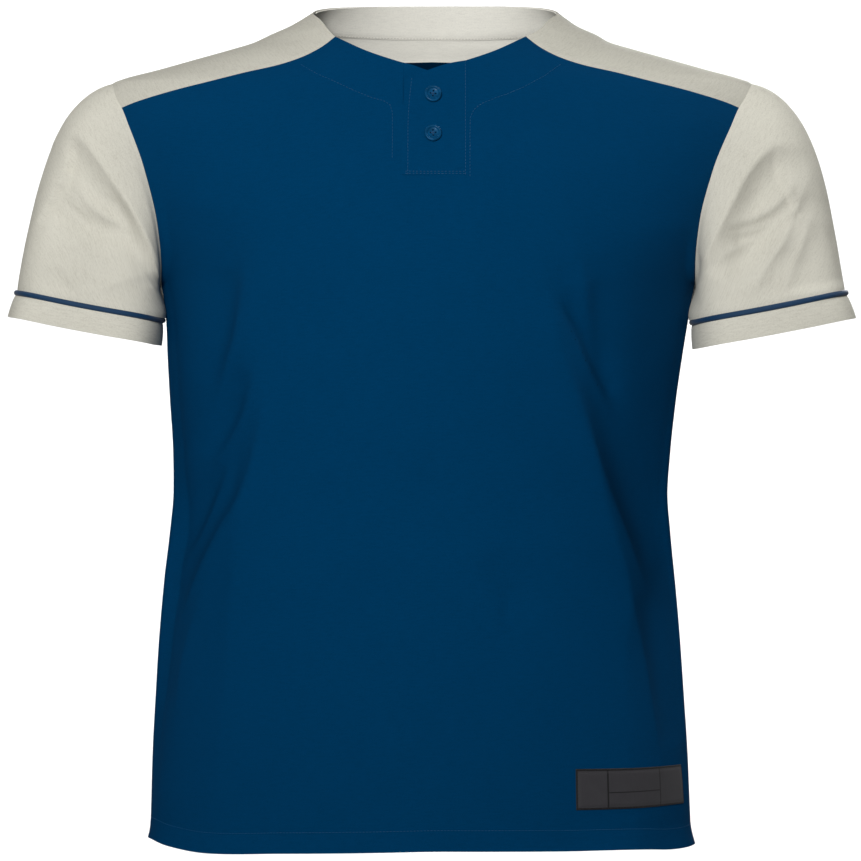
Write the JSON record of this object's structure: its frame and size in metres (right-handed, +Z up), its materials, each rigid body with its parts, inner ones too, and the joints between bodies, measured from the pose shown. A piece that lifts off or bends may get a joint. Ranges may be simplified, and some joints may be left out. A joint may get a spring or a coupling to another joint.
{
  "type": "two-button sports jersey",
  "caption": "Adult short-sleeved sports jersey in knit cloth, hollow as when worn: open neck, button placket, contrast shoulder yokes, piped sleeve bands, straight hem and a bare woven tag.",
  "frame": {"origin": "middle of the neck opening, level with the highest point of the front of the shoulders, where the wearer's shoulders carry the cloth", "axes": "the wearer faces -Y, +X is the wearer's left, +Z is up"},
  "size_m": [0.7431, 0.2433, 0.7414],
  "materials": {
    "navy_knit": "matte polyester knit",
    "stone_knit": "matte heathered polyester knit",
    "button_plastic": "glossy",
    "tag_cloth": "woven satin"
  },
  "bodies": {
    "root": {"front_body": "navy_knit", "back_body": "navy_knit", "yoke_left": "stone_knit", "yoke_right": "stone_knit", "sleeve_left": "stone_knit", "sleeve_right": "stone_knit", "piping_left": "navy_knit", "piping_right": "navy_knit", "cuff_left": "stone_knit", "cuff_right": "stone_knit", "placket_flap": "navy_knit", "placket_stand": "navy_knit", "button_upper": "button_plastic", "button_lower": "button_plastic", "back_neck_facing": "stone_knit", "hem_tag": "tag_cloth"}
  },
  "joints": []
}
